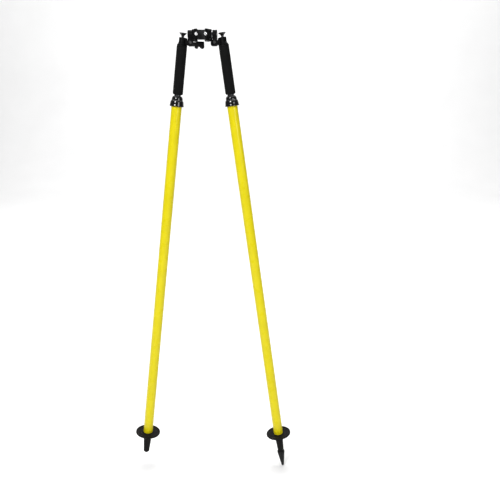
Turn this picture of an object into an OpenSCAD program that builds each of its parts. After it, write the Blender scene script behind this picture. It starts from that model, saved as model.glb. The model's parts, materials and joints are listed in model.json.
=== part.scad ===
// Thumb-release bipod for a surveying prism pole.
// Millimetres. +Z up, +X to the right, +Y away from the pole's entry side.
// The origin is on the axis of the clamped pole, at mid-height of the head.
// The legs hang beside the pole and splay outwards in a plane behind it.

/* [Clamp head] */
// Radius of the clamped pole seat (25.4 mm pole)
pole_r = 12.75; // [12.5:0.05:13.2]
// Half length of the central barrel along X
barrel_half = 22; // [21.6:0.1:22.2]
// Radius of the barrel
barrel_r = 10.8; // [10.4:0.1:11]
// Height of the swivel axis above the origin
swivel_z = 4.7; // [4.6:0.1:4.8]
// Distance from the pole axis back to the leg plane
leg_y = 20; // [19.8:0.1:20.2]
// Wire radius of the jaw spring
jaw_wire_r = 0.5; // [0.4:0.05:0.6]

/* [Legs] */
// Half distance between the leg axes at the origin's height
leg_x = 46.76; // [46.7:0.02:46.9]
// Splay of each leg from the vertical at rest, degrees
splay = 7.41; // [7.3:0.01:7.5]
// Outer radius of the lower tube (25.4 mm tube)
outer_r = 12.7; // [12.6:0.05:12.8]
// Bore radius of the lower tube
outer_bore_r = 11.2; // [11.1:0.05:11.4]
// Outer radius of the upper tube
inner_r = 7.95; // [7.9:0.01:8]
// Bore radius of the upper tube
inner_bore_r = 6.4; // [6.2:0.1:6.6]
// Distance down the leg to the lower end of the lower tube
tube_end = 1046; // [900:1:1100]
// Distance down the leg to the lower end of the upper tube
inner_end = 940; // [860:1:940]

/* [Grips and collars] */
// Radius of the foam grip
grip_r = 12.4; // [12:0.1:12.6]
// Distance down the leg to the lower end of the foam grip
grip_end = 131.5; // [126:0.5:132]
// Radius of the collar's flange
collar_r = 17.25; // [16.5:0.25:17.5]

/* [Feet] */
// Radius of the step plate
disc_r = 33; // [30:0.25:34]
// Radius of the shank just below the step plate
shank_r = 10.6; // [10:0.1:11]
// Length of the tapered shank below the step plate
shank_len = 58; // [56:0.5:60]

/* [Hidden] */
$fn = 64;

eps = 0.01;
pad_r = pole_r + 1.65;        // back of the rubber pads
jaw_out_r = pole_r + 5.6;     // outside of the jaws
pin_x = 17.6;                 // jaw pivot
pin_y = 3.5;
knuckle_in = 23.8;            // inner face of each knuckle
knuckle_out = 34.2;           // outer face of each knuckle
splay_x = 28;                 // splay pin
splay_z = -12.5;
lug_in = 19.4;                // inner face of each knuckle's lug, under the barrel
screw_x = 10.8;               // pad screws
screw_z = 3.2;
foot_end = tube_end + 3.6 + shank_len;
run = 0.07;                   // radial clearance of running fits

// ---------- helpers ----------
// The right side is drawn; the left is its mirror image.
module side(s) { if (s > 0) children(); else mirror([1, 0, 0]) children(); }
// Frame of the right leg: its axis is local Z, and the leg runs down it.
module leg_place() { translate([leg_x, leg_y, 0]) rotate([0, -splay, 0]) children(); }
// A solid of revolution about the leg, given as [distance down the leg, radius] pairs.
module leg_spin(p) { rotate_extrude($fn = 96) polygon([for (q = p) [q[1], -q[0]]]); }
// A plain ring or rod between two distances down the leg.
module leg_tube(t0, t1, ro, ri = 0) {
  translate([0, 0, -t1]) difference() {
    cylinder(r = ro, h = t1 - t0);
    if (ri > 0) translate([0, 0, -1]) cylinder(r = ri, h = t1 - t0 + 2);
  }
}
module xcyl(x0, x1, r) { translate([x0, leg_y, swivel_z]) rotate([0, 90, 0]) cylinder(r = r, h = x1 - x0); }
// Pie wedge between two angles in the XY plane
module wedge2d(a0, a1, r) { polygon(concat([[0, 0]], [for (i = [0:8]) let (a = a0 + (a1 - a0) * i / 8) [r * cos(a), r * sin(a)]])); }
module sector2d(r0, r1, a0, a1) { intersection() { difference() { circle(r = r1); circle(r = r0); } wedge2d(a0, a1, r1 * 1.6); } }
// Coil of round wire about Z, swept as one closed skin
module coil(rm, rw, len, turns, n = 14, m = 8) {
  k = turns * n;
  pts = [for (i = [0:k]) let (a = 360 * i / n, z = rw + (len - 2 * rw) * i / k)
           for (j = [0:m - 1]) let (b = 360 * j / m) [(rm + rw * cos(b)) * cos(a), (rm + rw * cos(b)) * sin(a), z + rw * sin(b)]];
  faces = concat([[for (j = [0:m - 1]) j]],
    [for (i = [0:k - 1]) for (j = [0:m - 1]) each [
       [i * m + j, (i + 1) * m + j, (i + 1) * m + (j + 1) % m],
       [i * m + j, (i + 1) * m + (j + 1) % m, i * m + (j + 1) % m]]],
    [[for (j = [m - 1:-1:0]) k * m + j]]);
  polyhedron(points = pts, faces = faces, convexity = 10);
}

// ---------- head ----------
module head_body() {
  color("#262626") difference() {
    union() {
      xcyl(-barrel_half, barrel_half, barrel_r);
      translate([-barrel_half, 11, -6.1]) cube([2 * barrel_half, 9, 21.6]);
      translate([-11.4, 5, -6.1]) cube([22.8, 8, 21.6]);
      for (s = [-1, 1]) side(s) translate([0, 0, -6.1]) linear_extrude(17.7) union() {
        translate([pin_x, pin_y]) circle(r = 5);
        polygon([[13.2, 3.5], [21.8, 4.5], [21.8, 14], [13.2, 14]]);
      }
    }
    translate([0, 0, -20]) cylinder(r = pad_r, h = 60, $fn = 96);
    translate([0, leg_y, swivel_z]) rotate([0, 90, 0]) cylinder(r = 4, h = 60, center = true);
    for (s = [-1, 1]) translate([s * pin_x, pin_y, -10]) cylinder(r = 2.5, h = 40);
    // lightening pockets in the back of the barrel
    for (x = [-13, 13]) translate([x, leg_y + 9.6, swivel_z]) rotate([-90, 0, 0]) cylinder(r = 3.2, h = 10);
  }
}
module saddle_pad() {
  color("#3a3a3a") translate([0, 0, -6.1]) linear_extrude(21.6) sector2d(pole_r, pad_r, 42, 138);
}
// Wrap-round front plate, upper and lower arms, and the lower squeeze lever
module jaw_solid(in_x, low) {
  difference() {
    union() {
      translate([0, 0, -11.5]) linear_extrude(25.6) sector2d(pad_r, jaw_out_r, -50, -14);
      for (z = [[-11.5, 4.9], [12, 3]]) translate([0, 0, z[0]]) linear_extrude(z[1]) union() {
        sector2d(pad_r, jaw_out_r, -50, 8);
        translate([pin_x, pin_y]) circle(r = 5);
      }
      // squeeze lever under the barrel, and its finger tab behind it
      translate([0, 0, low]) linear_extrude(-6.6 - low) polygon([[13.4, 3], [19, 5], [19, 41.5], [16, 41.5], [15, 34], [in_x, 31], [in_x, 15]]);
      translate([16, 33.8, low]) cube([3, 7.7, 11.5 - low]);
      translate([15.2, 37, 3]) rotate([0, 90, 0]) cylinder(r = 2.6, h = 2);
      // boss for the pad screw
      difference() {
        translate([screw_x, -15.8, screw_z]) rotate([-90, 0, 0]) cylinder(r = 4.4, h = 9);
        translate([0, 0, -20]) cylinder(r = pad_r, h = 60, $fn = 96);
      }
    }
    translate([pin_x, pin_y, -20]) cylinder(r = 2.5 + run, h = 60);
    translate([pin_x, pin_y, 13.6]) cylinder(r = 4, h = 10);
    translate([screw_x, -17, screw_z]) rotate([-90, 0, 0]) cylinder(r = 1.75, h = 9);
    // finger grooves down the outside of the tab
    for (i = [0:2]) translate([19.6, 35.4 + 2.2 * i, -20]) cylinder(r = 0.9, h = 50);
  }
}
module left_jaw() {
  color("#1d1d1d") {
    mirror([1, 0, 0]) jaw_solid(12.5, -11.5);
    // thumb pad hanging below the lever, with two rounded ribs
    difference() {
      intersection() {
        translate([0, 40, 0]) rotate([90, 0, 0]) linear_extrude(30) union() {
          polygon([[-19, -9.7], [2.4, -9.7], [2.4, -20], [-3, -23], [-10.2, -21], [-16, -23.4], [-19, -23.4]]);
          translate([-16, -21.6]) circle(r = 4);
          translate([-2.8, -20.6]) circle(r = 5.2);
        }
        translate([0, 0, -40]) linear_extrude(40) polygon([[-19, 15], [-12, 17.5], [2.4, 25.2], [2.4, 31.5], [-19, 31.5]]);
      }
      for (x = [-16, -12, -8, -4, 0]) translate([x, 32, -30]) cylinder(r = 1.2, h = 40);
    }
  }
}
module right_jaw() { color("#1d1d1d") jaw_solid(5, -9.4); }
module jaw_pad(s) { translate([0, 0, -6.1]) linear_extrude(21.6) side(s) sector2d(pole_r, pad_r, -50, -12); }
module left_jaw_pad() { color("#3a3a3a") jaw_pad(-1); }
module right_jaw_pad() { color("#3a3a3a") jaw_pad(1); }
module jaw_screw(s) {
  color("#d8d8d8") side(s) difference() {
    union() {
      translate([screw_x, -18, screw_z]) rotate([-90, 0, 0]) cylinder(r = 3.4, h = 2.2);
      translate([screw_x, -15.9, screw_z]) rotate([-90, 0, 0]) cylinder(r = 1.75, h = 5);
    }
    translate([screw_x, -18.6, screw_z]) rotate([-90, 0, 0]) cylinder(r = 2, h = 1.9, $fn = 6);
  }
}
module left_jaw_screw() { jaw_screw(-1); }
module right_jaw_screw() { jaw_screw(1); }
module jaw_pins() {
  color("#c8c8c8") for (s = [-1, 1]) translate([s * pin_x, pin_y, 0]) {
    translate([0, 0, -12.6]) cylinder(r = 2.5, h = 27);
    translate([0, 0, 13.9]) cylinder(r = 3.7, h = 1.3);
    translate([0, 0, -13.1]) cylinder(r = 3.7, h = 1.2);
  }
}
module jaw_spring() {
  color("#c8c8c8") translate([-15, 37, 3]) rotate([0, 90, 0]) coil(3.5, jaw_wire_r, 30, 8);
}
module swivel_bolt() {
  color("#b4b4b4") difference() {
    union() { xcyl(-33.8, 30.6, 4); xcyl(30.5, 33.8, 6); }
    translate([32, leg_y, swivel_z]) rotate([0, 90, 0]) cylinder(r = 3, h = 5, $fn = 6);
  }
}
module swivel_nut() {
  color("#b4b4b4") difference() {
    translate([-33.6, leg_y, swivel_z]) rotate([0, 90, 0]) cylinder(r = 6.1, h = 3.1, $fn = 6);
    xcyl(-40, -20, 4);
  }
}
module swivel_washers() {
  color("#c8c8c8") for (s = [-1, 1]) side(s) difference() {
    xcyl(barrel_half, knuckle_in - 0.15, 9.4);
    xcyl(10, 40, 4);
  }
}

// ---------- knuckles ----------
module knuckle(s) {
  color("#242424") side(s) difference() {
    union() {
      xcyl(knuckle_in, knuckle_out, 11);
      translate([0, leg_y + 7.9, 0]) rotate([90, 0, 0]) linear_extrude(15.8) union() {
        polygon([[lug_in, -6.5], [lug_in, -18.4], [21.2, -20.4], [33, -20.4], [knuckle_out, -19.2], [knuckle_out, 2], [knuckle_in, 2], [knuckle_in, -6.5]]);
      }
    }
    // relief round the barrel
    translate([0, leg_y, swivel_z]) rotate([0, 90, 0]) cylinder(r = barrel_r + 0.4, h = knuckle_in);
    xcyl(20, 40, 4 + run);
    xcyl(30.3, 40, 6.4);
    // slot for the leg's ear
    translate([21.6, leg_y - 4.1, -30]) cube([20, 8.2, 23.6]);
    translate([splay_x, leg_y, splay_z]) rotate([90, 0, 0]) cylinder(r = 2.5, h = 40, center = true);
  }
}
module left_knuckle() { knuckle(-1); }
module right_knuckle() { knuckle(1); }
module splay_pin(s) {
  color("#c8c8c8") side(s) translate([splay_x, leg_y, splay_z]) rotate([90, 0, 0]) {
    cylinder(r = 2.5, h = 16.4, center = true);
    translate([0, 0, 7.92]) cylinder(r = 3.3, h = 0.9);
    translate([0, 0, -8.82]) cylinder(r = 3.3, h = 0.9);
  }
}
module left_splay_pin() { splay_pin(-1); }
module right_splay_pin() { splay_pin(1); }

// ---------- upper leg ----------
module leg_head(s) {
  color("#202020") side(s) difference() {
    union() {
      leg_place() leg_spin([[0.8, 0], [0.8, 7.6], [1.6, 8.4], [10.8, 8.4], [13.5, 9.2], [16.5, 11.2], [18.4, 12.2], [19.6, 12.4], [19.6, inner_bore_r], [34, inner_bore_r], [34, 0]]);
      translate([0, leg_y + 3.9, 0]) rotate([90, 0, 0]) linear_extrude(7.8) union() {
        translate([splay_x, splay_z]) circle(r = 5.7);
        polygon([[28, -18.1], [30, -7.3], [35.6, -7.6], [36.6, -2.8], [44, -1.6], [45, -19], [36.5, -18.4]]);
      }
    }
    leg_place() leg_tube(0, 12, 5.2);
    leg_place() leg_tube(0, 60, 2.5 + run);
    translate([splay_x, leg_y, splay_z]) rotate([90, 0, 0]) cylinder(r = 2.5 + run, h = 40, center = true);
  }
}
module left_leg_head() { leg_head(-1); }
module right_leg_head() { leg_head(1); }
module thumb_button(s) {
  color("#1a1a1a") side(s) leg_place()
    leg_spin([[-9.7, 0], [-9.7, 8.4], [-9.3, 8.9], [-8.6, 9], [-8.2, 8.6], [-3.4, 3.9], [-0.5, 3.2], [1.2, 3.2], [1.2, 4.8], [2.2, 4.8], [2.2, 2.5], [16, 2.5], [16, 0]]);
}
module left_thumb_button() { thumb_button(-1); }
module right_thumb_button() { thumb_button(1); }
module button_spring(s) {
  color("#c8c8c8") side(s) leg_place() translate([0, 0, -11.9]) coil(3.9, 0.45, 9.5, 5);
}
module left_button_spring() { button_spring(-1); }
module right_button_spring() { button_spring(1); }
module release_rod(s) { color("#a8a8a8") side(s) leg_place() leg_tube(16, inner_end + 38, 2.5); }
module left_release_rod() { release_rod(-1); }
module right_release_rod() { release_rod(1); }
module brake_wedge(s) {
  color("#b08d3c") side(s) leg_place() difference() {
    leg_spin([[inner_end + 11, 0], [inner_end + 11, 3.6], [inner_end + 34, 8.2], [inner_end + 38, 8.2], [inner_end + 38, 0]]);
    leg_tube(inner_end, inner_end + 60, 2.5);
  }
}
module left_brake_wedge() { brake_wedge(-1); }
module right_brake_wedge() { brake_wedge(1); }
module brake_collet(s) {
  color("#6b6b6b") side(s) leg_place() difference() {
    leg_spin([[inner_end - 24, 0], [inner_end - 24, inner_bore_r], [inner_end, inner_bore_r], [inner_end, outer_bore_r - run],
      [inner_end + 34, outer_bore_r - run], [inner_end + 34, 8.6], [inner_end + 11, 4], [inner_end + 11, 0]]);
    leg_tube(inner_end - 40, inner_end + 40, 2.5 + run);
    for (a = [0, 90]) rotate([0, 0, a]) translate([-20, -0.8, -inner_end - 40]) cube([40, 1.6, 32]);
  }
}
module left_brake_collet() { brake_collet(-1); }
module right_brake_collet() { brake_collet(1); }
module inner_tube(s) { color("#2b2b2b") side(s) leg_place() leg_tube(19.6, inner_end, inner_r, inner_bore_r); }
module left_inner_tube() { inner_tube(-1); }
module right_inner_tube() { inner_tube(1); }
module foam_grip(s) {
  color("#161616") side(s) leg_place()
    leg_spin([[19.6, inner_r], [19.6, 11.9], [20.6, grip_r], [grip_end - 3.5, grip_r], [grip_end - 1.2, grip_r - 0.8], [grip_end, grip_r - 2.6], [grip_end, inner_r]]);
}
module left_foam_grip() { foam_grip(-1); }
module right_foam_grip() { foam_grip(1); }

// ---------- lower leg ----------
module outer_tube(s) { color("#efe02a") side(s) leg_place() leg_tube(146, tube_end, outer_r, outer_bore_r); }
module left_outer_tube() { outer_tube(-1); }
module right_outer_tube() { outer_tube(1); }
module collar(s) {
  color("#121212") side(s) leg_place()
    leg_spin([[134.2, inner_r + run], [134.2, 9], [135.2, 10.6], [136.8, 12], [138.8, 12.9], [141, 13.3], [143.6, 13.5], [145.2, 14.3], [146.4, 15.4], [149.5, 16.1],
      [154, 16.5], [157.4, collar_r], [158.6, collar_r], [159.2, collar_r - 0.5], [159.2, outer_r], [146, outer_r], [146, inner_r + run]]);
}
module left_collar() { collar(-1); }
module right_collar() { collar(1); }
module foot(s) {
  t = tube_end;
  color("#3c3c3c") side(s) leg_place() difference() {
    leg_spin([[t - 44, 0], [t - 44, outer_bore_r], [t, outer_bore_r], [t, 16.2], [t + 0.6, 16.8], [t + 0.6, 28.8], [t - 0.9, 29.4], [t - 0.9, disc_r - 0.6], [t - 0.3, disc_r],
      [t + 3, disc_r], [t + 3.6, disc_r - 0.6], [t + 3.6, 13], [t + 5, shank_r + 0.5], [t + 8, shank_r], [t + 24, 10.2], [t + 2.6 + shank_len, 7.8], [t + 3.6 + shank_len, 7], [t + 3.6 + shank_len, 0]]);
    leg_tube(t + shank_len - 26, t + shank_len + 10, 4);
  }
}
module left_foot() { foot(-1); }
module right_foot() { foot(1); }
module foot_point(s) {
  color("#2a2a2a") side(s) leg_place() leg_spin([[foot_end - 20, 0], [foot_end - 20, 4], [foot_end + 0.1, 4], [foot_end + 0.1, 5.4], [foot_end + 1.6, 5.2], [foot_end + 4.2, 2.6], [foot_end + 4.8, 0]]);
}
module left_foot_point() { foot_point(-1); }
module right_foot_point() { foot_point(1); }
module right_point_cap() {
  t = foot_end;
  color("#1a1a1a") leg_place() difference() {
    leg_spin([[t - 6, 0], [t - 6, 9.4], [t - 5, 10], [t - 2, 10.1], [t + 10.4, 8.2], [t + 38, 3.6], [t + 40.6, 2.6], [t + 41.4, 1.2], [t + 41.4, 0]]);
    leg_tube(t - 10, t + 3, 8.6);
    leg_spin([[t + 2, 0], [t + 2, 7.4], [t + 4, 6.4], [t + 7, 3.4], [t + 7.6, 0]]);
    // lanyard hole through the skirt
    translate([0, 0, -t - 1]) rotate([90, 0, 0]) cylinder(r = 1.2, h = 40, center = true);
  }
}

head_body();
saddle_pad();
left_jaw();
right_jaw();
left_jaw_pad();
right_jaw_pad();
left_jaw_screw();
right_jaw_screw();
jaw_pins();
jaw_spring();
swivel_bolt();
swivel_nut();
swivel_washers();
left_knuckle();
right_knuckle();
left_splay_pin();
right_splay_pin();
left_leg_head();
right_leg_head();
left_thumb_button();
right_thumb_button();
left_button_spring();
right_button_spring();
left_release_rod();
right_release_rod();
left_brake_wedge();
right_brake_wedge();
left_brake_collet();
right_brake_collet();
left_inner_tube();
right_inner_tube();
left_foam_grip();
right_foam_grip();
left_outer_tube();
right_outer_tube();
left_collar();
right_collar();
left_foot();
right_foot();
left_foot_point();
right_foot_point();
right_point_cap();
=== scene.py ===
import bpy, bmesh, json, math
import numpy as np
from mathutils import Matrix, Vector

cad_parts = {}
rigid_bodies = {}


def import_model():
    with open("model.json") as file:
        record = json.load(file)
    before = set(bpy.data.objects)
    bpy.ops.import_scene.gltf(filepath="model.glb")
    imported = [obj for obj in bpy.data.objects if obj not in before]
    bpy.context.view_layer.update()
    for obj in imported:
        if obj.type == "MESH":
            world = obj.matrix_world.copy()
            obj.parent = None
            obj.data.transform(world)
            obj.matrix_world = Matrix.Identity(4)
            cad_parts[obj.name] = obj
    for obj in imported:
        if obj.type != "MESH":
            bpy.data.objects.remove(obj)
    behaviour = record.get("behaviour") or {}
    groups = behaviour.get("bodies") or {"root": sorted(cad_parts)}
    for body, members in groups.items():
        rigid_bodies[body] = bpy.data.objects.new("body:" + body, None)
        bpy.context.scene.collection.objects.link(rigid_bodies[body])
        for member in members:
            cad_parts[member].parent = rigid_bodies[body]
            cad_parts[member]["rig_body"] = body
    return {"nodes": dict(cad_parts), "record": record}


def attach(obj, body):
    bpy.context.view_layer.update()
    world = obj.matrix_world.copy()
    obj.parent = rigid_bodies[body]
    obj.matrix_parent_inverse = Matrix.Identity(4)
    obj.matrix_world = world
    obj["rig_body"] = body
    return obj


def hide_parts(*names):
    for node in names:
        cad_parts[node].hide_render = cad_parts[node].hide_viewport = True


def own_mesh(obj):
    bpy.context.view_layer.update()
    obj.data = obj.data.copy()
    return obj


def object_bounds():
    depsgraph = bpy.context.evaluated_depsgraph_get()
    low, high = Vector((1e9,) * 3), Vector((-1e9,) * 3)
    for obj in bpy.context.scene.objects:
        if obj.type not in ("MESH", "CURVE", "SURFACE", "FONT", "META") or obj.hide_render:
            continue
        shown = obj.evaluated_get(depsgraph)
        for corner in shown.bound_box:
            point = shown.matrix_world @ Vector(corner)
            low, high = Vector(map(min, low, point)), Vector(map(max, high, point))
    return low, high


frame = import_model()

CAD_BOX = [list(map(float, c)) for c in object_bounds()]
NODES = frame["nodes"]
MM = 0.001

# The part's own numbers, in millimetres, as in the CAD design
LEG_X, LEG_Y, SPLAY = 46.76, 20.0, math.radians(7.41)
SWIVEL_Z = 4.7
TUBE_END, INNER_END = 1046.0, 940.0
SHANK = 58.0
FOOT_END = TUBE_END + 3.6 + SHANK


def leg_matrix(s):
    """Local Z runs up the leg and the origin is on the leg's axis at the origin's height, in metres."""
    rot = Matrix.Rotation(-s * SPLAY, 4, "Y")
    return Matrix.Translation(Vector((s * LEG_X * MM, LEG_Y * MM, 0))) @ rot


# ------------------------------------------------------------------ materials
def new_mat(name):
    m = bpy.data.materials.new(name)
    m.use_nodes = True
    nt = m.node_tree
    nt.nodes.clear()
    out = nt.nodes.new("ShaderNodeOutputMaterial")
    bs = nt.nodes.new("ShaderNodeBsdfPrincipled")
    nt.links.new(bs.outputs["BSDF"], out.inputs["Surface"])
    return m, nt, bs


def coords(nt, scale=(1, 1, 1)):
    tc = nt.nodes.new("ShaderNodeTexCoord")
    mp = nt.nodes.new("ShaderNodeMapping")
    mp.inputs["Scale"].default_value = scale
    nt.links.new(tc.outputs["Object"], mp.inputs["Vector"])
    return mp.outputs["Vector"]


def noise(nt, vec, scale, detail=4.0, rough=0.55, dist=0.0):
    n = nt.nodes.new("ShaderNodeTexNoise")
    n.inputs["Scale"].default_value = scale
    n.inputs["Detail"].default_value = detail
    n.inputs["Roughness"].default_value = rough
    n.inputs["Distortion"].default_value = dist
    nt.links.new(vec, n.inputs["Vector"])
    return n.outputs["Fac"]


def voronoi(nt, vec, scale, feature="F1", rand=1.0):
    n = nt.nodes.new("ShaderNodeTexVoronoi")
    n.feature = feature
    n.inputs["Scale"].default_value = scale
    n.inputs["Randomness"].default_value = rand
    nt.links.new(vec, n.inputs["Vector"])
    return n.outputs["Distance"]


def ramp(nt, fac, stops, interp="LINEAR"):
    r = nt.nodes.new("ShaderNodeValToRGB")
    r.color_ramp.interpolation = interp
    el = r.color_ramp.elements
    el[0].position, el[0].color = stops[0][0], col(stops[0][1])
    el[1].position, el[1].color = stops[-1][0], col(stops[-1][1])
    for p, c in stops[1:-1]:
        e = el.new(p)
        e.color = col(c)
    nt.links.new(fac, r.inputs["Fac"])
    return r.outputs["Color"]


def col(c):
    if isinstance(c, (int, float)):
        return (c, c, c, 1)
    return (c[0], c[1], c[2], 1)


def maprange(nt, fac, a, b, c, d):
    r = nt.nodes.new("ShaderNodeMapRange")
    r.inputs["From Min"].default_value = a
    r.inputs["From Max"].default_value = b
    r.inputs["To Min"].default_value = c
    r.inputs["To Max"].default_value = d
    nt.links.new(fac, r.inputs["Value"])
    return r.outputs["Result"]


def mixc(nt, fac, a, b, mode="MIX"):
    m = nt.nodes.new("ShaderNodeMix")
    m.data_type = "RGBA"
    m.blend_type = mode
    for sock, v in ((m.inputs["Factor"], fac), (m.inputs["A"], a), (m.inputs["B"], b)):
        if isinstance(v, (int, float)):
            sock.default_value = v
        elif isinstance(v, (tuple, list)):
            sock.default_value = col(v)
        else:
            nt.links.new(v, sock)
    return m.outputs["Result"]


def math_node(nt, op, a, b=None):
    m = nt.nodes.new("ShaderNodeMath")
    m.operation = op
    for i, v in enumerate((a, b)):
        if v is None:
            continue
        if isinstance(v, (int, float)):
            m.inputs[i].default_value = v
        else:
            nt.links.new(v, m.inputs[i])
    return m.outputs["Value"]


def bump(nt, bs, height, strength, dist, chain=None):
    b = nt.nodes.new("ShaderNodeBump")
    b.inputs["Strength"].default_value = strength
    b.inputs["Distance"].default_value = dist
    nt.links.new(height, b.inputs["Height"])
    if chain is not None:
        nt.links.new(chain, b.inputs["Normal"])
    nt.links.new(b.outputs["Normal"], bs.inputs["Normal"])
    return b.outputs["Normal"]


def edge_wear(nt, lo=0.52, hi=0.60):
    """0 on flats, 1 along worn convex edges, broken up by noise."""
    g = nt.nodes.new("ShaderNodeNewGeometry")
    e = maprange(nt, g.outputs["Pointiness"], lo, hi, 0, 1)
    n = noise(nt, coords(nt), 420, 5, 0.7)
    return math_node(nt, "MULTIPLY", e, maprange(nt, n, 0.48, 0.62, 0, 1))


def mat_yellow():
    m, nt, bs = new_mat("yellow_powder_coat")
    v = coords(nt)
    v2 = coords(nt, (1, 1, 0.06))
    cloud = noise(nt, v, 26, 4, 0.6)
    base = ramp(nt, cloud, [(0.30, (0.600, 0.508, 0.0035)), (0.55, (0.634, 0.540, 0.0050)), (0.78, (0.655, 0.560, 0.0080))])
    # fine lengthwise handling scuffs, a touch duller and paler
    scuff = noise(nt, v2, 900, 6, 0.75)
    scuff = maprange(nt, scuff, 0.63, 0.72, 0, 0.35)
    base = mixc(nt, scuff, base, (0.62, 0.55, 0.035))
    # sparse dust specks in the coat
    sp = voronoi(nt, v, 260)
    spk = maprange(nt, sp, 0.05, 0.11, 0.5, 0.0)
    base = mixc(nt, spk, base, (0.47, 0.39, 0.015))
    nt.links.new(base, bs.inputs["Base Color"])
    r = math_node(nt, "ADD", maprange(nt, noise(nt, v, 60, 4, 0.6), 0.3, 0.7, 0.24, 0.34), scuff)
    nt.links.new(r, bs.inputs["Roughness"])
    peel = noise(nt, v, 620, 2, 0.5)
    n1 = bump(nt, bs, peel, 0.22, 0.00012)
    bump(nt, bs, noise(nt, v, 2600, 3, 0.5), 0.10, 0.00003, n1)
    bs.inputs["Coat Weight"].default_value = 0.05
    bs.inputs["Coat Roughness"].default_value = 0.12
    bs.inputs["Specular IOR Level"].default_value = 0.20
    return m


def mat_cast(name="cast_powder_black", tone=(0.0022, 0.0022, 0.0024)):
    m, nt, bs = new_mat(name)
    v = coords(nt)
    w = edge_wear(nt)
    c = ramp(nt, noise(nt, v, 90, 5, 0.6), [(0.3, [x * 0.8 for x in tone]), (0.7, [x * 1.35 for x in tone])])
    c = mixc(nt, math_node(nt, "MULTIPLY", w, 0.5), c, (0.06, 0.06, 0.062))
    nt.links.new(c, bs.inputs["Base Color"])
    nt.links.new(maprange(nt, noise(nt, v, 240, 4, 0.6), 0.3, 0.7, 0.36, 0.52), bs.inputs["Roughness"])
    n1 = bump(nt, bs, noise(nt, v, 1500, 4, 0.6), 0.35, 0.00008)
    bump(nt, bs, voronoi(nt, v, 1900), 0.18, 0.00005, n1)
    bs.inputs["Specular IOR Level"].default_value = 0.05
    return m


def mat_nylon():
    m, nt, bs = new_mat("moulded_nylon_black")
    v = coords(nt)
    w = edge_wear(nt)
    c = ramp(nt, noise(nt, v, 70, 4, 0.6), [(0.3, (0.0018, 0.0018, 0.0019)), (0.7, (0.0034, 0.0034, 0.0036))])
    c = mixc(nt, math_node(nt, "MULTIPLY", w, 0.35), c, (0.035, 0.035, 0.035))
    nt.links.new(c, bs.inputs["Base Color"])
    nt.links.new(maprange(nt, noise(nt, v, 300, 4, 0.6), 0.3, 0.7, 0.34, 0.50), bs.inputs["Roughness"])
    bump(nt, bs, voronoi(nt, v, 2600), 0.35, 0.00006)
    bs.inputs["Specular IOR Level"].default_value = 0.055
    return m


def mat_rubber(name, lo, hi, rough=(0.62, 0.8), scale=1400):
    m, nt, bs = new_mat(name)
    v = coords(nt)
    c = ramp(nt, noise(nt, v, 55, 5, 0.6), [(0.3, lo), (0.7, hi)])
    dust = maprange(nt, noise(nt, v, 330, 6, 0.7), 0.60, 0.75, 0, 0.35)
    c = mixc(nt, dust, c, [x * 2.2 + 0.01 for x in hi])
    nt.links.new(c, bs.inputs["Base Color"])
    nt.links.new(maprange(nt, noise(nt, v, 200, 4, 0.6), 0.3, 0.7, rough[0], rough[1]), bs.inputs["Roughness"])
    n1 = bump(nt, bs, noise(nt, v, scale, 4, 0.6), 0.4, 0.00008)
    bump(nt, bs, noise(nt, v, 150, 3, 0.5), 0.10, 0.0004, n1)
    bs.inputs["Specular IOR Level"].default_value = 0.16
    return m


def mat_foam():
    m, nt, bs = new_mat("closed_cell_foam")
    v = coords(nt)
    cell = voronoi(nt, v, 1150)
    cell2 = voronoi(nt, v, 2500)
    c = ramp(nt, noise(nt, v, 60, 5, 0.65), [(0.3, (0.0030, 0.0030, 0.0031)), (0.7, (0.0052, 0.0052, 0.0054))])
    # a paler bloom where hands rub
    rub = maprange(nt, noise(nt, coords(nt, (1, 1, 0.35)), 38, 5, 0.6), 0.52, 0.72, 0, 0.5)
    c = mixc(nt, rub, c, (0.0105, 0.0105, 0.0108))
    # painted shade: the foam's cell pits, the hollows of the bump below, are darkened in colour as if shadowed
    pit_shade = maprange(nt, cell, 0.0, 0.35, 0.55, 0.0)
    c = mixc(nt, pit_shade, c, (0.0035, 0.0035, 0.0035))
    nt.links.new(c, bs.inputs["Base Color"])
    nt.links.new(maprange(nt, noise(nt, v, 420, 4, 0.6), 0.3, 0.7, 0.78, 0.95), bs.inputs["Roughness"])
    n1 = bump(nt, bs, cell, 0.55, 0.00022)
    bump(nt, bs, cell2, 0.35, 0.00010, n1)
    bs.inputs["Specular IOR Level"].default_value = 0.10
    return m


def mat_gloss():
    m, nt, bs = new_mat("gloss_black_moulding")
    v = coords(nt)
    c = ramp(nt, noise(nt, v, 50, 4, 0.6), [(0.3, (0.0020, 0.0020, 0.0023)), (0.7, (0.0040, 0.0040, 0.0044))])
    scr = maprange(nt, noise(nt, coords(nt, (1, 1, 7)), 500, 6, 0.75), 0.62, 0.72, 0, 1)
    c = mixc(nt, math_node(nt, "MULTIPLY", scr, 0.15), c, (0.06, 0.06, 0.06))
    nt.links.new(c, bs.inputs["Base Color"])
    r = math_node(nt, "ADD", maprange(nt, noise(nt, v, 130, 4, 0.6), 0.3, 0.7, 0.09, 0.17), math_node(nt, "MULTIPLY", scr, 0.15))
    nt.links.new(r, bs.inputs["Roughness"])
    bump(nt, bs, noise(nt, v, 420, 3, 0.5), 0.02, 0.00004)
    bs.inputs["Specular IOR Level"].default_value = 0.12
    bs.inputs["Coat Weight"].default_value = 0.75
    bs.inputs["Coat Roughness"].default_value = 0.05
    return m


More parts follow.
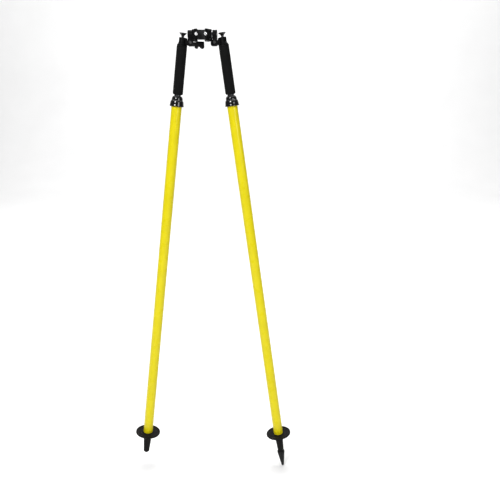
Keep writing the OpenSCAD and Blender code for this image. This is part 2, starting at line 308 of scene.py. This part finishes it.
def mat_charcoal():
    m, nt, bs = new_mat("charcoal_coat")
    v = coords(nt)
    w = edge_wear(nt, 0.515, 0.58)
    c = ramp(nt, noise(nt, v, 60, 6, 0.65), [(0.28, (0.0042, 0.0039, 0.0038)), (0.55, (0.0068, 0.0062, 0.0061)), (0.8, (0.0105, 0.0096, 0.0094))])
    c = mixc(nt, math_node(nt, "MULTIPLY", w, 0.6), c, (0.09, 0.088, 0.085))
    soil = maprange(nt, noise(nt, v, 150, 6, 0.75), 0.58, 0.74, 0, 0.35)
    c = mixc(nt, soil, c, (0.034, 0.030, 0.025))
    nt.links.new(c, bs.inputs["Base Color"])
    nt.links.new(maprange(nt, noise(nt, v, 260, 4, 0.6), 0.3, 0.7, 0.42, 0.6), bs.inputs["Roughness"])
    n1 = bump(nt, bs, noise(nt, v, 900, 5, 0.6), 0.45, 0.00012)
    bump(nt, bs, voronoi(nt, v, 1600), 0.2, 0.00008, n1)
    bs.inputs["Specular IOR Level"].default_value = 0.07
    return m


def mat_steel(name, tone=0.62, rough=(0.14, 0.26), stretch=(1, 1, 14), tint=(1, 1, 1.01)):
    m, nt, bs = new_mat(name)
    v = coords(nt)
    c = ramp(nt, noise(nt, v, 180, 4, 0.6), [(0.3, [tone * 0.88 * t for t in tint]), (0.7, [tone * t for t in tint])])
    stain = maprange(nt, noise(nt, v, 90, 6, 0.75), 0.60, 0.75, 0, 0.4)
    c = mixc(nt, stain, c, [tone * 0.55 * t for t in tint])
    nt.links.new(c, bs.inputs["Base Color"])
    nt.links.new(maprange(nt, noise(nt, v, 350, 5, 0.6), 0.3, 0.7, rough[0], rough[1]), bs.inputs["Roughness"])
    bump(nt, bs, noise(nt, coords(nt, stretch), 700, 4, 0.6), 0.22, 0.00004)
    bs.inputs["Metallic"].default_value = 1.0
    return m


def mat_anodised():
    m, nt, bs = new_mat("black_anodised")
    v = coords(nt)
    c = ramp(nt, noise(nt, v, 60, 4, 0.6), [(0.3, (0.020, 0.020, 0.022)), (0.7, (0.034, 0.034, 0.037))])
    line = maprange(nt, noise(nt, coords(nt, (1, 1, 0.03)), 1500, 5, 0.7), 0.62, 0.74, 0, 0.5)
    c = mixc(nt, line, c, (0.09, 0.09, 0.095))
    nt.links.new(c, bs.inputs["Base Color"])
    nt.links.new(maprange(nt, noise(nt, v, 260, 4, 0.6), 0.3, 0.7, 0.26, 0.38), bs.inputs["Roughness"])
    bump(nt, bs, noise(nt, coords(nt, (1, 1, 0.04)), 1800, 4, 0.6), 0.2, 0.00003)
    bs.inputs["Metallic"].default_value = 0.6
    return m


M = {
    "yellow": mat_yellow(), "cast": mat_cast(), "nylon": mat_nylon(),
    "pad": mat_rubber("dark_grey_rubber", (0.014, 0.014, 0.0145), (0.022, 0.022, 0.023)),
    "cap": mat_rubber("black_rubber", (0.0032, 0.0032, 0.0034), (0.0062, 0.0062, 0.0066), (0.38, 0.55)),
    "foam": mat_foam(), "gloss": mat_gloss(), "charcoal": mat_charcoal(),
    "bright": mat_steel("bright_plated_steel", 0.86, (0.22, 0.36)),
    "spring": mat_steel("spring_wire", 0.52, (0.22, 0.34)),
    "washer": mat_steel("turned_washer_steel", 0.62, (0.2, 0.32), (14, 1, 1)),
    "point": mat_steel("turned_stainless", 0.60, (0.18, 0.30), (1, 1, 22)),
    "rod": mat_steel("drawn_aluminium", 0.66, (0.24, 0.36), (1, 1, 0.05)),
    "brass": mat_steel("turned_brass", 0.62, (0.18, 0.30), (1, 1, 22), (1.0, 0.78, 0.36)),
    "anodised": mat_anodised(),
}
M["blackened"] = mat_steel("black_oxide_steel", 0.06, (0.28, 0.42))
M["acetal"] = mat_rubber("natural_acetal", (0.36, 0.36, 0.34), (0.46, 0.46, 0.43), (0.38, 0.5))


# ------------------------------------------------------------------ mesh code
def round_profile(pts, radii, steps=4):
    """Rounds each corner of a profile with a smooth blend of the given radius."""
    out = []
    n = len(pts)
    for i, p in enumerate(pts):
        r = radii[i] if isinstance(radii, (list, tuple)) else radii
        if i in (0, n - 1) or r <= 0:
            out.append(p)
            continue
        a, b = np.array(pts[i - 1], float), np.array(pts[i + 1], float)
        q = np.array(p, float)
        la, lb = np.linalg.norm(a - q), np.linalg.norm(b - q)
        d = min(r, la * 0.48, lb * 0.48)
        if d < 1e-4:
            out.append(p)
            continue
        p0, p2 = q + (a - q) / la * d, q + (b - q) / lb * d
        for k in range(steps + 1):
            t = k / steps
            out.append(tuple((1 - t) ** 2 * p0 + 2 * t * (1 - t) * q + t * t * p2))
    return out


def densify(pts, step):
    out = [pts[0]]
    for a, b in zip(pts, pts[1:]):
        n = max(1, int(math.dist(a, b) / step))
        out += [(a[0] + (b[0] - a[0]) * k / n, a[1] + (b[1] - a[1]) * k / n) for k in range(1, n + 1)]
    return out


def lathe(name, prof, seg=96, closed=False, bend=None):
    """Turns [distance down the leg, radius] pairs, in mm, about local Z. bend(t, r, angle) may move the radius."""
    bm = bmesh.new()
    rings = []
    for t, r in prof:
        if r < 1e-6:
            rings.append([bm.verts.new((0, 0, -t * MM))])
            continue
        ring = []
        for k in range(seg):
            a = 2 * math.pi * k / seg
            rr = r if bend is None else bend(t, r, a)
            ring.append(bm.verts.new((rr * MM * math.cos(a), rr * MM * math.sin(a), -t * MM)))
        rings.append(ring)
    pairs = list(zip(rings, rings[1:])) + ([(rings[-1], rings[0])] if closed else [])
    for a, b in pairs:
        for k in range(seg):
            k2 = (k + 1) % seg
            if len(a) == 1 and len(b) == 1:
                continue
            if len(a) == 1:
                bm.faces.new((a[0], b[k], b[k2]))
            elif len(b) == 1:
                bm.faces.new((a[k], b[0], a[k2]))
            else:
                bm.faces.new((a[k], b[k], b[k2], a[k2]))
    bmesh.ops.recalc_face_normals(bm, faces=bm.faces)
    return finish_mesh(name, bm)


def finish_mesh(name, bm, angle=38):
    me = bpy.data.meshes.new(name)
    bm.to_mesh(me)
    bm.free()
    me.polygons.foreach_set("use_smooth", [True] * len(me.polygons))
    me.set_sharp_from_angle(angle=math.radians(angle))
    o = bpy.data.objects.new(name, me)
    bpy.context.scene.collection.objects.link(o)
    return o


def dress(o, mat, body, node=None, slot=None):
    o.data.materials.clear()
    o.data.materials.append(M[mat])
    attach(o, body)
    if node:
        for n in (node if isinstance(node, (list, tuple)) else [node]):
            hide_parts(n)
            slot = slot or next((p["material_slot"] for p in frame["record"]["subparts"] if p["node"] == n), None)
    return o


def from_cad(node, mat, width=0.35, angle=28, seg=3, name=None):
    """A finished shell made from a CAD node: welded, its flats merged, its edges rounded."""
    src = NODES[node]
    bm = bmesh.new()
    bm.from_mesh(src.data)
    bmesh.ops.remove_doubles(bm, verts=bm.verts, dist=2e-6)
    bmesh.ops.dissolve_limit(bm, angle_limit=math.radians(0.6), verts=bm.verts, edges=bm.edges)
    o = finish_mesh(name or node + "_shell", bm, 30)
    body = src["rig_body"]
    b = o.modifiers.new("round", "BEVEL")
    b.width = width * MM
    b.segments = seg
    b.limit_method = "ANGLE"
    b.angle_limit = math.radians(angle)
    b.harden_normals = True
    b.use_clamp_overlap = True
    return dress(o, mat, body, node)


def coil(name, rm, rw, length, turns, per=40, ring=10, hooks=True):
    """A round-wire spring about local Z, from 0 to length, its end turns closed down flat."""
    bm = bmesh.new()
    n = int(turns * per)
    rings = []
    for i in range(n + 1):
        u = i / n
        a = 2 * math.pi * turns * u
        # dead turns at each end
        e = 0.9 / turns
        z = rw + (length - 2 * rw) * min(1, max(0, (u - e * 0.5) / (1 - e)))
        c = Vector((rm * math.cos(a), rm * math.sin(a), z))
        rad = Vector((math.cos(a), math.sin(a), 0))
        up = Vector((0, 0, 1))
        rings.append([bm.verts.new((c + rad * rw * math.cos(2 * math.pi * j / ring) + up * rw * math.sin(2 * math.pi * j / ring)) * MM) for j in range(ring)])
    for a, b in zip(rings, rings[1:]):
        for j in range(ring):
            j2 = (j + 1) % ring
            bm.faces.new((a[j], b[j], b[j2], a[j2]))
    bm.faces.new(rings[0][::-1])
    bm.faces.new(rings[-1])
    bmesh.ops.recalc_face_normals(bm, faces=bm.faces)
    return finish_mesh(name, bm)


# ------------------------------------------------------------------ head
for node, mat, w in (
    ("head_body", "cast", 0.7), ("left_jaw", "nylon", 0.6), ("right_jaw", "nylon", 0.6),
    ("left_knuckle", "cast", 0.7), ("right_knuckle", "cast", 0.7),
    ("left_leg_head", "cast", 0.5), ("right_leg_head", "cast", 0.5),
    ("saddle_pad", "pad", 0.35), ("left_jaw_pad", "pad", 0.35), ("right_jaw_pad", "pad", 0.35),
    ("left_jaw_screw", "bright", 0.45), ("right_jaw_screw", "bright", 0.45),
    ("jaw_pins", "bright", 0.4), ("swivel_bolt", "bright", 0.4), ("swivel_nut", "bright", 0.3), ("swivel_washers", "washer", 0.3),
    ("left_splay_pin", "blackened", 0.3), ("right_splay_pin", "blackened", 0.3),
    ("left_brake_collet", "acetal", 0.25), ("right_brake_collet", "acetal", 0.25),
):
    from_cad(node, mat, w)

js = coil("jaw_return_spring", 3.5, 0.5, 30.0, 9)
js.matrix_world = Matrix.Translation(Vector((-15 * MM, 37 * MM, 3 * MM))) @ Matrix.Rotation(math.pi / 2, 4, "Y")
bpy.context.view_layer.update()
dress(js, "spring", "head", "jaw_spring")
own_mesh(js)

# ------------------------------------------------------------------ legs
for s, sd in ((-1, "left"), (1, "right")):
    L = leg_matrix(s)

    def put(o, mat, body, node=None, bake=False):
        if bake:
            o.data.transform(L)
        else:
            o.matrix_world = L
        bpy.context.view_layer.update()
        return dress(o, mat, f"{sd}_{body}", node)

    # thumb button: a domed cap with two shallow grip rings over a cone and a stem
    cap = round_profile([(-9.7, 0), (-9.55, 2.4), (-9.35, 2.8), (-9.55, 3.2), (-9.65, 4.6), (-9.4, 5.0), (-9.6, 5.4), (-9.68, 8.2), (-9.3, 8.92), (-8.6, 9.0), (-8.2, 8.6),
                         (-3.4, 3.9), (-0.5, 3.15), (1.2, 3.15), (1.2, 4.8), (2.2, 4.8), (2.2, 2.5), (16.0, 2.5), (16.0, 0)], 0.45, 4)
    put(lathe(f"{sd}_thumb_cap", cap, 96), "gloss", "button", f"{sd}_thumb_button")
    # button spring in its well
    sp = coil(f"{sd}_button_coil", 3.9, 0.45, 9.5, 5.5, 36, 8)
    sp.data.transform(Matrix.Translation(Vector((0, 0, -11.9 * MM))))
    put(sp, "spring", "leg", f"{sd}_button_spring")
    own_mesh(sp)
    put(lathe(f"{sd}_rod", round_profile([(16, 0), (16, 2.5), (INNER_END + 38, 2.5), (INNER_END + 38, 0)], 0.3), 32), "rod", "button", f"{sd}_release_rod")
    put(lathe(f"{sd}_wedge", round_profile([(INNER_END + 11, 2.52), (INNER_END + 11, 3.6), (INNER_END + 34, 8.2), (INNER_END + 38, 8.2), (INNER_END + 38, 2.52)], 0.4), 64, True), "brass", "button", f"{sd}_brake_wedge")

    # upper tube
    put(lathe(f"{sd}_upper_tube", round_profile([(20, 6.4), (20, 7.95), (600, 7.95), (INNER_END, 7.95), (INNER_END, 6.4), (600, 6.4)], 0.25), 96, True), "anodised", "leg", f"{sd}_inner_tube")

    # foam grip: slightly uneven skin, soft ends, tapered to the neck at its foot
    fp = densify(round_profile([(19.8, 7.97), (19.8, 11.7), (21.0, 12.35), (70, 12.38), (127.6, 12.38), (130.2, 11.7), (131.4, 9.9), (131.4, 7.97)],
                               [0, 0.8, 1.6, 5, 2.0, 1.4, 0.8, 0], 6), 1.1)

    def skin(t, r, a, s=s):
        if r < 8.3:
            return r
        k = (0.055 * math.sin(0.31 * t + 2.1 * s) * math.sin(2 * a + 0.05 * t) + 0.05 * math.sin(0.93 * t + 3 * a) + 0.04 * math.sin(2.3 * t - 5 * a + s)
             + 0.035 * math.sin(4.9 * t + 11 * a) * math.sin(7 * a - 1.7 * t))
        return r - 0.10 + k * 0.6

    g = lathe(f"{sd}_foam_sleeve", fp, 160, True, skin)
    put(g, "foam", "leg", f"{sd}_foam_grip")

    # collar: neck, domed shoulder, flare and rolled flange
    cp = [(134.2, 8.05), (134.2, 9.0), (135.2, 10.6), (136.8, 12.0), (138.8, 12.9), (141, 13.3), (143.9, 13.55), (144.3, 13.6), (145.2, 14.4), (146.4, 15.4), (149.5, 16.1),
          (154, 16.55), (157.2, 17.22), (158.6, 17.22), (159.2, 16.6), (159.2, 12.72), (150, 12.72), (146.02, 12.72), (146.02, 8.05)]
    put(lathe(f"{sd}_collar_ring", round_profile(cp, [0, 0.5, 1, 1, 1, 1, 0.3, 0.3, 0.6, 0.9, 1, 1, 0.9, 0.6, 0.5, 0.3, 0, 0.2, 0], 5), 128, True), "gloss", "lower_leg", f"{sd}_collar")

    # lower tube
    put(lathe(f"{sd}_lower_tube", round_profile([(146.1, 11.2), (146.1, 12.7), (300, 12.7), (600, 12.7), (900, 12.7), (1045.9, 12.7), (1045.9, 11.2), (600, 11.2)], 0.35), 128, True), "yellow", "lower_leg", f"{sd}_outer_tube")

    # foot: hub, step plate with raised rim and a shallow step ring, tapered shank
    t = TUBE_END
    ft = [(t - 44, 0), (t - 44, 11.18), (t, 11.18), (t, 12.9), (t - 0.0, 15.6), (t + 0.5, 16.8), (t + 0.6, 20.5), (t + 0.3, 21.0), (t + 0.3, 22.2), (t + 0.6, 22.7), (t + 0.6, 28.6), (t - 0.85, 29.9),
          (t - 0.9, 32.3), (t - 0.1, 33.0), (t + 2.9, 33.0), (t + 3.6, 32.3), (t + 3.6, 27.0), (t + 2.9, 26.4), (t + 2.9, 15.0), (t + 3.6, 13.2), (t + 5.2, 11.2), (t + 8, 10.6), (t + 24, 10.2), (t + 2.6 + SHANK, 7.8), (FOOT_END, 7.0),
          (FOOT_END, 4.02), (FOOT_END - 22, 4.02), (FOOT_END - 24, 0)]
    put(lathe(f"{sd}_foot_casting", round_profile(ft, 0.8, 4), 144), "charcoal", "lower_leg", f"{sd}_foot", bake=True)
    e = FOOT_END
    put(lathe(f"{sd}_ground_point", round_profile([(e - 20, 0), (e - 20, 4), (e + 0.1, 4), (e + 0.1, 5.4), (e + 0.6, 5.4), (e + 0.8, 5.15), (e + 1.0, 5.38), (e + 1.7, 5.2), (e + 4.2, 2.6), (e + 4.7, 1.4), (e + 4.8, 0)], 0.35), 96), "blackened", "lower_leg", f"{sd}_foot_point")

from_cad("right_point_cap", "cap", 0.5)

# ------------------------------------------------------------------ stage
def stage():
    bm = bmesh.new()
    prof = [(-6.0, 0.0), (4.6, 0.0)]
    for k in range(1, 25):
        a = math.radians(90 * k / 24)
        prof.append((4.6 + 2.2 * math.sin(a), 2.2 - 2.2 * math.cos(a)))
    prof.append((6.8, 9.0))
    z0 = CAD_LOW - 0.0005
    rows = [[bm.verts.new((x, y, z0 + z)) for x in np.linspace(-14, 14, 9)] for y, z in prof]
    for a, b in zip(rows, rows[1:]):
        for k in range(8):
            bm.faces.new((a[k], a[k + 1], b[k + 1], b[k]))
    o = finish_mesh("studio_floor", bm, 60)
    m, nt, bs = new_mat("studio_paper")
    v = coords(nt)
    nt.links.new(ramp(nt, noise(nt, v, 3, 3, 0.5), [(0.3, (0.90, 0.90, 0.90)), (0.7, (0.92, 0.92, 0.92))]), bs.inputs["Base Color"])
    bs.inputs["Roughness"].default_value = 0.9
    bs.inputs["Specular IOR Level"].default_value = 0.1
    o.data.materials.append(m)


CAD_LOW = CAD_BOX[0][2]
stage()


def area(name, loc, target, size, power, color=(1, 1, 1), size_y=None):
    l = bpy.data.lights.new(name, "AREA")
    l.energy = power
    l.color = color
    l.shape = "RECTANGLE"
    l.size = size
    l.size_y = size_y or size
    o = bpy.data.objects.new(name, l)
    o.location = loc
    o.rotation_euler = (Vector(target) - Vector(loc)).to_track_quat("-Z", "Y").to_euler()
    bpy.context.scene.collection.objects.link(o)
    return o


area("key", (-1.1, -2.6, 1.3), (0, 0, -0.5), 0.9, 84)
area("fill", (1.9, -2.3, 0.3), (0, 0, -0.5), 1.1, 26)
area("top", (0, 0.3, 2.4), (0, 0.2, -0.6), 2.6, 50)
area("backdrop", (0, 1.6, 4.2), (0, 6.0, 1.6), 5.0, 380)
w = bpy.data.worlds.new("studio")
bpy.context.scene.world = w
w.use_nodes = True
wt = w.node_tree
dim = wt.nodes["Background"]
dim.inputs["Color"].default_value = (1, 1, 1, 1)
dim.inputs["Strength"].default_value = 0.18
pale = wt.nodes.new("ShaderNodeBackground")
pale.inputs["Color"].default_value = (1, 1, 1, 1)
pale.inputs["Strength"].default_value = 0.92
path = wt.nodes.new("ShaderNodeLightPath")
both = wt.nodes.new("ShaderNodeMixShader")
wt.links.new(path.outputs["Is Camera Ray"], both.inputs[0])
wt.links.new(dim.outputs[0], both.inputs[1])
wt.links.new(pale.outputs[0], both.inputs[2])
wt.links.new(both.outputs[0], wt.nodes["World Output"].inputs["Surface"])

bpy.context.scene.view_settings.view_transform = "Standard"

# ------------------------------------------------------------------ camera
yaw, pitch, roll = -0.034, 0.249, -0.008


def mat3(rows):
    return Matrix(rows)


Rz = mat3([[math.cos(yaw), -math.sin(yaw), 0], [math.sin(yaw), math.cos(yaw), 0], [0, 0, 1]])
B = mat3([[1, 0, 0], [0, 0, -1], [0, 1, 0]])
Rx = mat3([[1, 0, 0], [0, math.cos(pitch), -math.sin(pitch)], [0, math.sin(pitch), math.cos(pitch)]])
Rr = mat3([[math.cos(roll), -math.sin(roll), 0], [math.sin(roll), math.cos(roll), 0], [0, 0, 1]])
R = Rr @ Rx @ B @ Rz
t_cam = Vector((-0.11102, -0.499094, 1.358919))
loc = -(R.transposed() @ t_cam) + Vector((0, LEG_Y * MM, 0))
cam = bpy.data.cameras.new("camera")
cam.sensor_width = 36
cam.lens = 579.95 / 500 * 36
co = bpy.data.objects.new("camera", cam)
cols = Matrix((R[0], -R[1], -R[2])).transposed()
co.matrix_world = Matrix.Translation(loc) @ cols.to_4x4()
bpy.context.scene.collection.objects.link(co)
bpy.context.scene.camera = co
